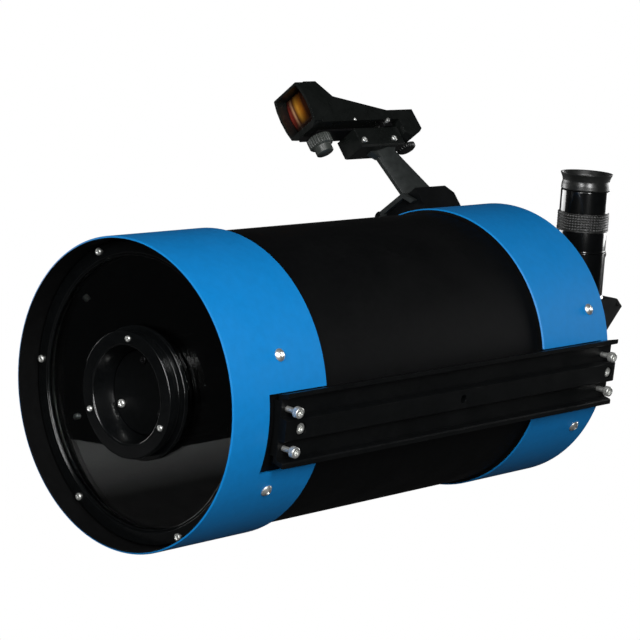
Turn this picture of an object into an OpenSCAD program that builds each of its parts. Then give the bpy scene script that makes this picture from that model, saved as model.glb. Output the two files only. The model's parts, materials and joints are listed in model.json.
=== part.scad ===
// Compound mirror telescope tube on a side dovetail rail, with a red-dot finder on a stalk,
// a right-angle mirror diagonal and an eyepiece.
// The optical axis runs along Y with the aperture facing -Y, +Z is up and the rail is on +X.
// The origin is the middle of the rail's outer face. Lengths are in mm.

/* [Tube] */
// Outer radius of the two blue end cells
cell_r = 92; // [80:1:110]
// Outer radius of the black main tube
tube_r = 89.4; // [78:0.1:108]
// Wall of the main tube
tube_wall = 1.6; // [1:0.1:3]
// Length of the front cell
front_len = 75; // [60:1:90]
// Start of the rear cell, measured from the front rim
rear_start = 278.5; // [250:0.5:300]
// End of the rear cell, measured from the front rim
rear_end = 349; // [330:0.5:370]

/* [Corrector] */
// Radius of the glass corrector plate
plate_r = 84; // [76:0.5:88]
// Front face of the retaining ring, behind the front rim
ring_face = 13.8; // [8:0.1:20]
// Inner radius of the retaining ring
ring_inner = 79.7; // [74:0.1:82]
// Radius of the secondary housing's front flange
flange_r = 37.3; // [30:0.1:42]
// Angle of the first collimation screw, from +X towards +Z
collimation_angle = 93; // [0:1:119]

/* [Rail] */
// Outer face of the rail, from the optical axis
rail_face = 99.5; // [96:0.1:104]
// Half width of the rail at its outer edge
rail_half = 22; // [20:0.5:24]
// Front end of the rail, behind the front rim
rail_start = 34; // [30:1:40]
// Length of the rail
rail_len = 312; // [290:1:330]
// Radius of the rail's middle thread
thread_r = 2.6; // [2.4:0.1:3]

/* [Eyepiece] */
// Distance of the eyepiece axis behind the front rim
eye_y = 435; // [425:0.5:445]
// Lean of the diagonal and the eyepiece towards the finder, in degrees
eye_lean = 3; // [0:0.1:10]
// Radius of the eyepiece barrel and of the diagonal's nose
barrel_r = 15.87; // [15.8:0.01:15.9]
// Radius of the sockets that take them
socket_r = 15.95; // [15.9:0.01:16]
// Height of the eyepiece's shoulder above the optical axis
shoulder_z = 54.3; // [50:0.1:60]

/* [Finder] */
// Angle of the finder round the tube, from +X towards +Z
finder_angle = 132; // [120:1:140]
// Front face of the finder's hood
hood_y = 255; // [250:1:262]
// Height of the finder's cradle underside above the optical axis
cradle_z = 151; // [145:1:156]

/* [Focus] */
// Sideways place of the focus screw
focus_x = -42; // [-50:1:-36]
// Height of the focus screw
focus_z = -36; // [-44:1:-30]

/* [Hidden] */
$fn = 96;
rail_mid = rail_start + rail_len / 2;
rail_back = 92;
valley = 94.5;
notch_top = 19.6;
notch_bottom = -27.2;
screw_ring_r = 86.4;
collim_r = 19.5;
flange_screw_r = 33;
flange_screw_angles = [93, 208, 339];
front_screw_y = 40.8;
rear_screw_y = 331.5;
cell_screw_angles = [25.5, -25.5, 154.5, 205.5];
cone_z = 11.5;
cone_front_y = 39;
cone_rear_y = 336.5;
altitude_y = 266;
plateau_front_y = 47;
plateau_rear_y = 339.5;
shoe_start = 310;
shoe_end = 347.5;

// ---- placing ----

// Moves from the optical axis at the front rim to the origin on the rail
module ota() {
    translate([-rail_face, -rail_mid, 0]) children();
}

// Turns a profile drawn round Z into one round the optical axis
module along_y(y0 = 0) {
    translate([0, y0, 0]) rotate([-90, 0, 0]) children();
}

// Turns Z to point along +X
module along_x(x0, y0, z0) {
    translate([x0, y0, z0]) rotate([0, 90, 0]) children();
}

// Carries the finder's upright frame round the tube: X is sideways, Z is away from the tube
module finder_frame() {
    rotate([0, 90 - finder_angle, 0]) children();
}

// Leans the diagonal and the eyepiece round the optical axis
module lean() {
    rotate([0, -eye_lean, 0]) children();
}

// Puts a part on the optical axis side at a radius, pointing outwards
module radial(angle, y0, r) {
    rotate([0, -angle, 0]) along_x(r, y0, 0) children();
}

// Puts a part at a place round the optical axis, pointing forwards
module facing_front(angle, r, y0) {
    rotate([0, -angle, 0]) translate([r, y0, 0]) rotate([90, 0, 0]) children();
}

// Ring of revolution round the optical axis from [radius, y] points
module turned(points) {
    along_y() rotate_extrude() polygon(points);
}

// ---- small hardware ----

module hex_socket(across, depth) {
    translate([0, 0, -depth]) cylinder(r = across / sqrt(3), h = depth + 1, $fn = 6);
}

// Cap screw with its head's underside at Z = 0 and its shank below
module cap_screw(head_r, head_h, shank_r, shank_len, across) {
    difference() {
        union() {
            cylinder(r = head_r, h = head_h);
            translate([0, 0, -shank_len]) cylinder(r = shank_r, h = shank_len + 0.01);
        }
        translate([0, 0, head_h]) hex_socket(across, head_h * 0.6);
    }
}

// Dome headed screw with a hexagon socket
module button_screw(head_r, head_h, shank_r, shank_len, across) {
    difference() {
        union() {
            rotate_extrude() intersection() {
                translate([0, head_h - head_r * 1.25]) circle(r = head_r * 1.25);
                square([head_r, head_h]);
            }
            translate([0, 0, -shank_len]) cylinder(r = shank_r, h = shank_len + 0.01);
        }
        translate([0, 0, head_h]) hex_socket(across, head_h * 0.7);
    }
}

// Pan headed screw with a cross slot
module pan_screw(head_r, head_h, shank_r, shank_len) {
    difference() {
        union() {
            cylinder(r1 = head_r, r2 = head_r * 0.82, h = head_h);
            translate([0, 0, -shank_len]) cylinder(r = shank_r, h = shank_len + 0.01);
        }
        translate([0, 0, head_h - 0.35]) cube([head_r * 1.3, 0.5, 1.4], center = true);
        translate([0, 0, head_h - 0.35]) cube([0.5, head_r * 1.3, 1.4], center = true);
    }
}

// Thumbscrew with a grooved head; the head starts at Z = 0 and the shank is below
module thumbscrew(head_r, head_h, shank_r, shank_len) {
    difference() {
        union() {
            cylinder(r = head_r, h = head_h);
            translate([0, 0, -shank_len]) cylinder(r = shank_r, h = shank_len + 0.01);
        }
        for (a = [0:30:330])
            rotate([0, 0, a]) translate([head_r + 0.25, 0, -1]) cylinder(r = 0.7, h = head_h + 2);
    }
}

// ---- front cell and corrector ----

module front_cell() {
    color([0.05, 0.4, 0.75]) ota() difference() {
        turned([[90.9, 0], [91.7, 0.3], [cell_r, 1], [cell_r, front_len], [89.5, front_len],
            [89.5, 28], [81, 28], [79.5, 26.5], [79.5, 21.2], [84.4, 21.2], [84.4, 16.3],
            [90.4, 16.3], [90.4, 0.5]]);
        translate([70, 28.3, notch_bottom]) cube([40, front_len, notch_top - notch_bottom]);
        for (a = [0:60:300])
            facing_front(a, screw_ring_r, 22.5) cylinder(r = 1.25, h = 10);
        for (a = cell_screw_angles) radial(a, front_screw_y, 80) cylinder(r = 2.1, h = 20);
    }
}

module corrector_plate() {
    color([0.75, 0.9, 0.85, 0.3]) ota()
        turned([[27, 16.4], [plate_r, 16.4], [plate_r, 20.6], [27, 20.6]]);
}

module corrector_gasket() {
    color([0.05, 0.05, 0.05]) ota()
        turned([[ring_inner + 0.5, 20.65], [83.7, 20.65], [83.7, 21.15], [ring_inner + 0.5, 21.15]]);
}

module retaining_ring() {
    color([0.03, 0.03, 0.03]) ota() difference() {
        turned([[ring_inner, ring_face + 0.5], [ring_inner + 0.5, ring_face], [88.5, ring_face],
            [88.9, ring_face + 0.4], [88.9, 16.25], [ring_inner, 16.25]]);
        for (a = [0:60:300])
            facing_front(a, screw_ring_r, 17) cylinder(r = 1.4, h = 6);
    }
}

module ring_screws() {
    color([0.8, 0.8, 0.8]) ota() for (a = [0:60:300])
        facing_front(a, screw_ring_r, ring_face) pan_screw(2.3, 1.4, 1.2, 7.5);
}

module secondary_housing() {
    color([0.03, 0.03, 0.03]) ota() difference() {
        turned([[28.7, 4.6], [29.3, 4], [36.9, 4], [flange_r, 4.4], [flange_r, 8.6],
            [36.9, 9], [35, 9], [35, 13.3], [39.2, 13.3], [39.5, 13.6], [39.5, 16.35],
            [26.4, 16.35], [26.4, 26], [21.3, 26], [21.3, 21.4], [24.9, 21.4], [24.9, 17],
            [27.6, 8.2]]);
        for (a = flange_screw_angles) facing_front(a, flange_screw_r, 12.4) cylinder(r = 1.25, h = 12);
    }
}

module housing_screws() {
    color([0.8, 0.8, 0.8]) ota() for (a = flange_screw_angles)
        facing_front(a, flange_screw_r, 4) pan_screw(1.9, 1.1, 1.15, 7.8);
}

module collimation_plate() {
    color([0.04, 0.04, 0.04]) ota() difference() {
        union() {
            turned([[0, 17.4], [24.4, 17.4], [24.8, 17.8], [24.8, 21.35], [0, 21.35]]);
            along_y(21.3) cylinder(r = 2.6, h = 8.7);
            translate([0, 30, 0]) sphere(r = 3);
        }
        for (a = [0:120:240])
            facing_front(a + collimation_angle, collim_r, 22) cylinder(r = 1.6, h = 6);
    }
}

module collimation_screw(index) {
    color([0.8, 0.8, 0.8]) ota()
        facing_front(collimation_angle + 120 * index, collim_r, 17.4)
            pan_screw(2.6, 1.8, 1.5, 17.6);
}

module collimation_screw_1() {
    collimation_screw(0);
}

module collimation_screw_2() {
    collimation_screw(1);
}

module collimation_screw_3() {
    collimation_screw(2);
}

module secondary_cell() {
    color([0.1, 0.1, 0.1]) ota() difference() {
        turned([[0, 32], [23, 32], [26, 35], [26, 46.5], [24.3, 46.5], [24.3, 39], [0, 39]]);
        translate([0, 30, 0]) sphere(r = 3.15);
        for (a = [0:120:240])
            facing_front(a + collimation_angle, collim_r, 37) cylinder(r = 1.9, h = 8);
    }
}

module secondary_mirror() {
    color([0.85, 0.87, 0.9]) ota() along_y() rotate_extrude() intersection() {
        translate([0, 39.1]) square([24, 12]);
        translate([0, 49 - 190]) circle(r = 190, $fn = 360);
    }
}

module secondary_baffle() {
    color([0.02, 0.02, 0.02]) ota()
        turned([[26.5, 20.7], [36, 20.7], [36, 24.5], [30.5, 25.5], [30.5, 62], [29.3, 62],
            [29.3, 26.5], [26.5, 26.5]]);
}

// ---- tube, rear cell and their fixings ----

module main_tube() {
    color([0.03, 0.03, 0.03]) ota() difference() {
        turned([[tube_r - tube_wall, 28.3], [tube_r, 28.3], [tube_r, 316], [tube_r - tube_wall, 316]]);
        for (a = cell_screw_angles) radial(a, front_screw_y, 80) cylinder(r = 2.1, h = 20);
        for (y0 = [plateau_front_y, 325]) along_x(80, y0, 0) cylinder(r = 2.1, h = 20);
    }
}

module rear_cell() {
    color([0.05, 0.4, 0.75]) ota() difference() {
        turned([[89.5, rear_start], [91.2, rear_start], [cell_r, rear_start + 0.8],
            [cell_r, rear_end - 1.5], [90.5, rear_end], [24, rear_end], [24, rear_end - 7],
            [85, rear_end - 7], [85, 318], [89.5, 318]]);
        translate([85.5, rear_start - 1, notch_bottom])
            cube([20, rear_end - 7 - rear_start, notch_top - notch_bottom]);
        for (a = cell_screw_angles) radial(a, rear_screw_y, 84) cylinder(r = 2.1, h = 20);
        along_x(84, plateau_rear_y, 0) cylinder(r = 1.95, h = 20);
        translate([focus_x, 0, focus_z]) along_y(rear_end - 8) cylinder(r = 9.05, h = 10);
        for (a = [0:120:240])
            translate([focus_x, 0, focus_z]) facing_front(a, 11.6, rear_end + 1) cylinder(r = 1.3, h = 6);
        for (a = [30:60:330]) facing_front(a, 29, rear_end + 1) cylinder(r = 1.3, h = 6);
    }
}

module cell_screws() {
    color([0.8, 0.8, 0.8]) ota() for (a = cell_screw_angles) {
        radial(a, front_screw_y, cell_r + 0.02) button_screw(3.8, 2.2, 2, 7, 2.5);
        radial(a, rear_screw_y, cell_r + 0.02) button_screw(3.8, 2.2, 2, 7, 2.5);
    }
}

// ---- rail ----

// Block behind the flat back of the rail, from x0 outwards
module rail_block(x0, y0, len) {
    translate([x0, y0, -16]) cube([rail_back - 0.05 - x0, len, 32]);
}

module rail_blocks() {
    color([0.03, 0.03, 0.03]) ota() difference() {
        union() {
            rail_block(80, rail_start, 30);
            rail_block(85.55, 320, 21);
        }
        along_y(rail_start - 1) cylinder(r = tube_r + 0.1, h = 32);
        for (y0 = [plateau_front_y, plateau_rear_y]) along_x(80, y0, 0) cylinder(r = 2.1, h = 20);
    }
}

module dovetail_rail() {
    color([0.04, 0.04, 0.04]) ota() difference() {
        translate([0, rail_start + rail_len, 0]) rotate([90, 0, 0]) linear_extrude(height = rail_len)
            polygon([[rail_back, 19.6], [98.7, 21.6], [rail_face, 21.9], [rail_face, 19.4],
                [98.9, 18.6], [valley, 17.8], [valley, 7.2], [rail_face - 0.6, 6.4],
                [rail_face, 5.8], [rail_face, -5.8], [rail_face - 0.6, -6.4], [valley, -7.2],
                [valley, -17.8], [98.9, -18.6], [rail_face, -19.4], [rail_face, -21.9],
                [98.7, -21.6], [rail_back, -19.6]]);
        along_x(rail_back - 1, rail_mid, 0) cylinder(r = thread_r, h = 10);
        for (y0 = [plateau_front_y, plateau_rear_y]) {
            along_x(rail_back - 1, y0, 0) cylinder(r = 2.1, h = 10);
            along_x(rail_face - 4, y0, 0) cylinder(r = 3.9, h = 10);
        }
        for (y0 = [cone_front_y, cone_rear_y]) for (z0 = [cone_z, -cone_z])
            along_x(rail_back - 1, y0, z0) cylinder(r = 1.82, h = 10);
    }
}

module rail_screws() {
    color([0.8, 0.8, 0.8]) ota() for (y0 = [plateau_front_y, plateau_rear_y])
        along_x(rail_face - 3.95, y0, 0) cap_screw(3.4, 3.2, 1.9, 8.5, 3);
}

module cone_screw(y0, z0) {
    color([0.8, 0.8, 0.8]) ota() along_x(100.9, y0, z0) cap_screw(3.3, 3.9, 1.75, 8.8, 2.8);
}

module cone_screw_front_top() {
    cone_screw(cone_front_y, cone_z);
}

module cone_screw_front_bottom() {
    cone_screw(cone_front_y, -cone_z);
}

module cone_screw_rear_top() {
    cone_screw(cone_rear_y, cone_z);
}

module cone_screw_rear_bottom() {
    cone_screw(cone_rear_y, -cone_z);
}

// ---- primary mirror and focus ----

module primary_mirror() {
    color([0.85, 0.87, 0.9]) ota() difference() {
        along_y(298) cylinder(r = 80, h = 14);
        along_y() translate([0, 0, 302 - 620]) sphere(r = 620, $fn = 360);
        along_y(290) cylinder(r = 21.5, h = 30);
    }
}

module mirror_carriage() {
    color([0.55, 0.55, 0.57]) ota() difference() {
        union() {
            turned([[19.08, 294], [21.3, 294], [21.3, 296.5], [26, 296.5], [26, 301.2],
                [21.3, 301.2], [21.3, 312.1], [42, 312.1], [42, 316.1], [21.3, 316.1],
                [21.3, 330], [19.08, 330]]);
            rotate([0, atan2(focus_z, -focus_x), 0]) translate([-55, 312.3, -7]) cube([30, 3.6, 14]);
            translate([focus_x, 0, focus_z]) along_y(312.1) cylinder(r = 9, h = 15.9);
        }
        translate([focus_x, 0, focus_z]) along_y(300) cylinder(r = 4.08, h = 40);
    }
}

module primary_baffle() {
    color([0.02, 0.02, 0.02]) ota()
        turned([[17.6, 140], [19, 140], [19, 337.5], [33, 337.5], [33, rear_end - 7.05],
            [17.6, rear_end - 7.05]]);
}

module focus_shaft() {
    color([0.72, 0.6, 0.3]) ota() translate([focus_x, 0, focus_z]) union() {
        along_y(319) cylinder(r = 4, h = 20);
        along_y(338) cylinder(r = 6.5, h = 3.4);
        along_y(341) cylinder(r = 5, h = 33);
    }
}

module focus_bearing() {
    color([0.04, 0.04, 0.04]) ota() translate([focus_x, 0, focus_z]) difference() {
        union() {
            along_y(rear_end - 7) cylinder(r = 8.95, h = 8);
            along_y(rear_end + 0.05) cylinder(r = 15, h = 4);
        }
        along_y(330) cylinder(r = 5.06, h = 30);
        for (a = [0:120:240]) facing_front(a, 11.6, rear_end + 5) cylinder(r = 1.3, h = 6);
    }
}

module focus_knob() {
    color([0.05, 0.05, 0.05]) ota() translate([focus_x, 0, focus_z]) difference() {
        union() {
            along_y(354) cylinder(r1 = 11.5, r2 = 14, h = 3);
            along_y(357) cylinder(r = 14, h = 17);
            along_y(374) cylinder(r1 = 14, r2 = 12.5, h = 2);
        }
        along_y(350) cylinder(r = 5.02, h = 24.2);
        for (a = [0:15:345])
            rotate([0, a, 0]) translate([14.4, 0, 0]) along_y(356) cylinder(r = 0.9, h = 17);
    }
}

// ---- rear port, diagonal and eyepiece ----

module rear_port() {
    color([0.04, 0.04, 0.04]) ota() difference() {
        turned([[18, rear_end - 6.9], [23.9, rear_end - 6.9], [23.9, rear_end + 0.05],
            [33, rear_end + 0.05], [33, rear_end + 2.6], [32.6, rear_end + 3], [25.2, rear_end + 3],
            [25.2, 360], [18, 360]]);
        for (a = [30:60:330]) facing_front(a, 29, rear_end + 4) cylinder(r = 1.3, h = 6);
    }
}

module visual_back() {
    color([0.04, 0.04, 0.04]) ota() difference() {
        turned([[25.3, 353], [29.4, 353], [30, 353.6], [30, 363.4], [29.4, 364], [24, 364],
            [24, 390.4], [23.4, 391], [socket_r, 391], [socket_r, 361.5], [25.3, 361.5]]);
        radial(180, 380, 10) cylinder(r = 2.1, h = 20);
    }
}

module visual_back_thumbscrew() {
    color([0.6, 0.6, 0.62]) ota() radial(180, 380, 26) thumbscrew(5.5, 8, 2, 9.5);
}

module diagonal_nose() {
    color([0.75, 0.75, 0.77]) ota()
        turned([[14.2, 363.5], [15.4, 363.5], [barrel_r, 364], [barrel_r, 391.1], [20, 391.1],
            [20.6, 391.7], [20.6, 395.4], [20, 396], [18.5, 396], [18.5, 404.9], [16.4, 404.9],
            [16.4, 408], [14.2, 408]]);
}

diag_outer = [[405, -22], [427.3, -22], [464, 14.7], [457.4, 20.7], [454.4, 21.5], [405, 21.5]];
diag_inner = [[408, -19], [422, -19], [456.5, 15.5], [456.5, 18.5], [408, 18.5]];
diag_screws = [[409.5, 20], [459.2, 16.6], [409.5, -20.4]];

// Extrudes a [y, z] outline sideways about the mid plane
module sideways(points, half) {
    rotate([90, 0, 90]) translate([0, 0, -half]) linear_extrude(height = 2 * half) polygon(points);
}

module diagonal_housing() {
    color([0.04, 0.04, 0.04]) ota() lean() difference() {
        sideways(diag_outer, 17);
        sideways(diag_inner, 18);
        along_y(400) cylinder(r = 16.45, h = 10);
        translate([0, eye_y, 10]) cylinder(r = 16.45, h = 20);
        for (side = [-1, 1]) for (p = diag_screws)
            translate([side * 17, p[0], p[1]]) rotate([0, 90, 0]) cylinder(r = 0.9, h = 8, center = true);
    }
}

module diagonal_side_plates() {
    color([0.05, 0.05, 0.05]) ota() lean() difference() {
        for (side = [-1, 1]) translate([side * 18.3, 0, 0]) sideways(diag_outer, 1.25);
        for (p = diag_screws)
            translate([0, p[0], p[1]]) rotate([0, 90, 0]) cylinder(r = 0.9, h = 50, center = true);
    }
}

module diagonal_screws() {
    color([0.5, 0.5, 0.5]) ota() lean() for (side = [0, 180])
        for (p = diag_screws)
            translate([0, p[0], p[1]]) rotate([0, 0, side]) rotate([0, 90, 0])
                translate([0, 0, 19.55]) cylinder(r1 = 1.5, r2 = 1.2, h = 0.6);
}

module diagonal_mirror() {
    color([0.85, 0.87, 0.9]) ota() lean() translate([0, eye_y, 0]) rotate([45, 0, 0])
        translate([-15.5, -18.5, -4.2]) cube([31, 37, 4]);
}

module eyepiece_holder() {
    color([0.04, 0.04, 0.04]) ota() lean() translate([0, eye_y, 0]) difference() {
        union() {
            translate([0, 0, 21.5]) cylinder(r = 17.8, h = shoulder_z - 21.5);
            translate([0, 0, 18.6]) cylinder(r = 16.4, h = 4);
            translate([0, 0, 21.5]) cylinder(r1 = 18.8, r2 = 17.8, h = 2);
        }
        translate([0, 0, 24]) cylinder(r = socket_r, h = 40);
        translate([0, 0, 15]) cylinder(r = 14.2, h = 20);
        translate([0, 0, 50]) rotate([-90, 0, 0]) cylinder(r = 1.6, h = 30);
    }
}

module eyepiece_thumbscrew() {
    color([0.05, 0.05, 0.05]) ota() lean() translate([0, eye_y + 18.3, 50]) rotate([-90, 0, 0])
        thumbscrew(4, 8.7, 1.5, 2.2);
}

module eyepiece_barrel() {
    color([0.8, 0.8, 0.82]) ota() lean() translate([0, eye_y, 0]) rotate_extrude()
        polygon([[14.2, 29], [15.4, 29], [barrel_r, 29.5], [barrel_r, 38], [15.5, 38.6],
            [15.5, 41], [barrel_r, 41.6], [barrel_r, shoulder_z], [14.9, shoulder_z],
            [14.9, 60], [14.2, 60]]);
}

module eyepiece_body() {
    color([0.03, 0.03, 0.03]) ota() lean() translate([0, eye_y, 0]) rotate_extrude()
        polygon([[15, shoulder_z], [17.2, shoulder_z], [17.6, shoulder_z + 0.4], [17.6, 68.9],
            [16.8, 68.9], [16.8, 82.1], [17.4, 82.1], [17.25, 82.6], [17.25, 97.6], [16.9, 98],
            [14.5, 98], [14.5, 103.5], [13.2, 103.5], [13.2, 62], [15, 60.1]]);
}

module eyepiece_grip() {
    color([0.03, 0.03, 0.03]) ota() lean() translate([0, eye_y, 0]) difference() {
        rotate_extrude() polygon([[16.82, 69], [18, 69], [18.3, 69.4], [18.3, 81.6], [18, 82],
            [16.82, 82]]);
        for (z0 = [70.6:1.6:80.4]) translate([0, 0, z0]) difference() {
            cylinder(r = 19, h = 0.5, center = true);
            cylinder(r = 18, h = 1, center = true);
        }
    }
}

module eyecup() {
    color([0.03, 0.03, 0.03]) ota() lean() translate([0, eye_y, 0]) rotate_extrude()
        polygon([[14.6, 98.1], [17, 98.1], [17.1, 98.6], [16.9, 101.5], [16.3, 104], [17.2, 107],
            [18.6, 109.6], [18.3, 110], [17.4, 109.9], [15.8, 106.8], [14.9, 104.2],
            [14.6, 103.9]]);
}

module eyepiece_lenses() {
    color([0.7, 0.85, 0.8, 0.4]) ota() lean() translate([0, eye_y, 0]) {
        rotate_extrude() polygon([[0, 99.4], [13.1, 98], [13.1, 101.2], [0, 102.2]]);
        rotate_extrude() polygon([[0, 66], [13.1, 66.8], [13.1, 70.8], [0, 72.6]]);
    }
}

// ---- finder ----

// Extrudes a [sideways, height] outline along the tube inside the finder's frame
module lengthwise(points, y0, len) {
    translate([0, y0 + len, 0]) rotate([90, 0, 0]) linear_extrude(height = len) polygon(points);
}

// Where the shoe's thumbscrew presses on the foot's sloping side
module at_shoe_lock() {
    translate([-15.2, 318.5, 106.15]) rotate([0, -56.6, 0]) children();
}

module finder_shoe() {
    color([0.05, 0.05, 0.05]) ota() finder_frame() difference() {
        sideways([[shoe_start, 84], [shoe_end, 84], [shoe_end, 103], [341.5, 109], [shoe_start, 109]], 22);
        along_y(300) cylinder(r = cell_r + 0.05, h = 60);
        difference() {
            lengthwise([[-19.1, 100.9], [19.1, 100.9], [13.7, 109.1], [13.7, 112], [-13.7, 112],
                [-13.7, 109.1]], 300, 60);
            lengthwise([[-14.6, 100.5], [14.6, 100.5], [10, 107.4], [-10, 107.4]], 299, 62);
        }
        at_shoe_lock() {
            translate([0, 0, -1]) cylinder(r = 2.1, h = 14);
            translate([0, 0, 4.8]) cylinder(r = 5, h = 20);
        }
        for (y0 = [320, 338]) translate([0, y0, 85]) cylinder(r = 2.1, h = 30);
    }
}

module shoe_screws() {
    color([0.8, 0.8, 0.8]) ota() finder_frame() for (y0 = [320, 338])
        translate([0, y0, 106]) rotate([180, 0, 0]) cylinder(r = 2, h = 13.9);
}

module shoe_thumbscrew() {
    color([0.1, 0.1, 0.1]) ota() finder_frame() at_shoe_lock()
        translate([0, 0, 4.9]) thumbscrew(4.6, 7, 2, 4.6);
}

module finder_bracket() {
    color([0.3, 0.31, 0.31]) ota() finder_frame() union() {
        difference() {
            lengthwise([[-18.4, 101.3], [18.4, 101.3], [12, 111], [-12, 111]], 307, 40);
            lengthwise([[-15.6, 100], [15.6, 100], [10.4, 107.8], [-10.4, 107.8]], 306, 42);
        }
        intersection() {
            sideways([[320, 110.5], [346.9, 110.5], [346.9, 115.6], [328.6, 147.8],
                [331, cradle_z], [310, cradle_z]], 7);
            translate([0, 323, 111]) rotate([13.6, 0, 0]) translate([0, 0, -12])
                linear_extrude(height = 70)
                    polygon([[-1.3, 0], [1.3, 0], [6.5, 9], [6.5, 40], [-6.5, 40], [-6.5, 9]]);
        }
        sideways([[309, cradle_z], [309, 150.2], [314.8, 146], [319, 146], [319, cradle_z]], 2.4);
    }
}

module finder_cradle() {
    color([0.05, 0.05, 0.05]) ota() finder_frame() difference() {
        lengthwise([[-8.2, cradle_z], [8.2, cradle_z], [9.4, cradle_z + 1.2],
            [9.4, cradle_z + 14.2], [-9.4, cradle_z + 14.2], [-9.4, cradle_z + 1.2]], 294, 45);
        for (y0 = [299, 330]) translate([0, y0, 156]) rotate([0, 90, 0])
            cylinder(r = 1.6, h = 40, center = true);
        translate([0, 325, cradle_z + 4]) cylinder(r = 2.6, h = 12);
    }
}

module cradle_screws() {
    color([0.8, 0.8, 0.8]) ota() finder_frame() for (y0 = [299, 330])
        translate([9.42, y0, 156]) rotate([0, 90, 0]) pan_screw(2.4, 1.3, 1.5, 17);
}

module finder_plate() {
    color([0.6, 0.6, 0.62]) ota() finder_frame() difference() {
        union() {
            translate([-7, 261, cradle_z + 14.5]) cube([14, 77, 1.4]);
            translate([-10.5, 325, cradle_z + 14.5]) cube([3.6, 9, 7]);
            translate([6.9, 325, cradle_z + 14.5]) cube([3.6, 9, 7]);
            translate([0, 325, cradle_z + 6]) cylinder(r = 2.5, h = 9);
        }
        translate([0, altitude_y, cradle_z + 10]) cylinder(r = 2.08, h = 12);
        translate([0, 329.5, 169.4]) rotate([0, 90, 0]) cylinder(r = 1.52, h = 40, center = true);
    }
}

module finder_pivot_pin() {
    color([0.8, 0.8, 0.8]) ota() finder_frame() translate([0, 329.5, 169.4]) rotate([0, 90, 0])
        cylinder(r = 1.5, h = 25.6, center = true);
}

hood_outer = [[-12.6, 201.6], [-11.8, 202.2], [11.8, 202.2], [12.6, 201.6], [14.2, 195],
    [14.9, 187], [14.4, 178], [13, 171], [9, 168.4], [-9, 168.4], [-13, 171], [-14.4, 178],
    [-14.9, 187], [-14.2, 195]];
hood_inner = [[-11, 200.4], [11, 200.4], [12.4, 194.6], [13.1, 187], [12.6, 178.6],
    [11.4, 172.6], [-11.4, 172.6], [-12.6, 178.6], [-13.1, 187], [-12.4, 194.6]];
body_side = [[262, 169.6], [340.4, 169.6], [340.4, 158.5], [348, 155.2], [356, 158.5],
    [359.5, 161], [359, 177], [332, 177], [284, 189.6], [276, 199.5], [274, 202], [262, 202]];

module finder_body() {
    color([0.05, 0.05, 0.05]) ota() finder_frame() difference() {
        union() {
            lengthwise(hood_outer, hood_y, 19);
            difference() {
                sideways(body_side, 13);
                lengthwise([[-11, 172.2], [11, 172.2], [11, 220], [-11, 220]], 250, 90);
                for (side = [-1, 1]) translate([side * 8.7 - 2.3, 322, 160]) cube([4.6, 15, 15]);
            }
        }
        lengthwise(hood_inner, hood_y - 1, 22);
        translate([0, 330, 172]) rotate([-90, 0, 0]) cylinder(r = 2.6, h = 18);
        translate([0, altitude_y, 160]) cylinder(r = 2.3, h = 13.5);
        translate([0, 329.5, 169.4]) rotate([0, 90, 0]) cylinder(r = 1.56, h = 40, center = true);
        translate([0, 350, 150]) cylinder(r = 2.08, h = 14);
        translate([-14, 350, 169]) rotate([0, 90, 0]) cylinder(r = 2.08, h = 6);
    }
}

module finder_lens() {
    color([0.9, 0.4, 0.1, 0.5]) ota() finder_frame() translate([0, 263, 186.4]) rotate([-90, 0, 0])
        rotate_extrude() difference() {
            intersection() {
                square([12.3, 12], center = false);
                translate([0, 60]) circle(r = 60);
            }
            translate([0, 62.4]) circle(r = 60);
        }
}

module finder_emitter() {
    color([0.6, 0.05, 0.05]) ota() finder_frame() translate([0, 337, 172]) rotate([-90, 0, 0])
        cylinder(r = 2.5, h = 10);
}

module altitude_knob() {
    color([0.12, 0.12, 0.12]) ota() finder_frame() translate([0, altitude_y, 0]) difference() {
        union() {
            translate([0, 0, 157.6]) cylinder(r1 = 7.6, r2 = 8.6, h = 1.2);
            translate([0, 0, 158.8]) cylinder(r = 8.6, h = 6.4);
            translate([0, 0, 152.5]) cylinder(r = 6.2, h = 6);
            translate([0, 0, 160]) cylinder(r = 2, h = 10.9);
        }
        for (a = [0:20:340])
            rotate([0, 0, a]) translate([9, 0, 158.8]) cylinder(r = 0.9, h = 8);
    }
}

module azimuth_knob() {
    color([0.06, 0.06, 0.06]) ota() finder_frame() translate([0, 350, 0]) difference() {
        union() {
            translate([0, 0, 150.9]) cylinder(r1 = 6.4, r2 = 7, h = 0.8);
            translate([0, 0, 151.7]) cylinder(r = 7, h = 3.1);
            translate([0, 0, 154]) cylinder(r = 2, h = 9.6);
        }
        for (a = [0:24:336])
            rotate([0, 0, a]) translate([7.4, 0, 150]) cylinder(r = 0.9, h = 8);
    }
}

module brightness_dial() {
    color([0.06, 0.06, 0.06]) ota() finder_frame() translate([-13.3, 350, 169]) rotate([0, -90, 0])
        thumbscrew(6, 3.5, 2, 5);
}

// ---- output ----

front_cell();
corrector_plate();
corrector_gasket();
retaining_ring();
ring_screws();
secondary_housing();
housing_screws();
collimation_plate();
collimation_screw_1();
collimation_screw_2();
collimation_screw_3();
secondary_cell();
secondary_mirror();
secondary_baffle();
main_tube();
rear_cell();
cell_screws();
rail_blocks();
dovetail_rail();
rail_screws();
cone_screw_front_top();
cone_screw_front_bottom();
cone_screw_rear_top();
cone_screw_rear_bottom();
primary_mirror();
mirror_carriage();
primary_baffle();
focus_shaft();
focus_bearing();
focus_knob();
rear_port();
visual_back();
visual_back_thumbscrew();
diagonal_nose();
diagonal_housing();
diagonal_side_plates();
diagonal_screws();
diagonal_mirror();
eyepiece_holder();
eyepiece_thumbscrew();
eyepiece_barrel();
eyepiece_body();
eyepiece_grip();
eyecup();
eyepiece_lenses();
finder_shoe();
shoe_screws();
shoe_thumbscrew();
finder_bracket();
finder_cradle();
cradle_screws();
finder_plate();
finder_pivot_pin();
finder_body();
finder_lens();
finder_emitter();
altitude_knob();
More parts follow.
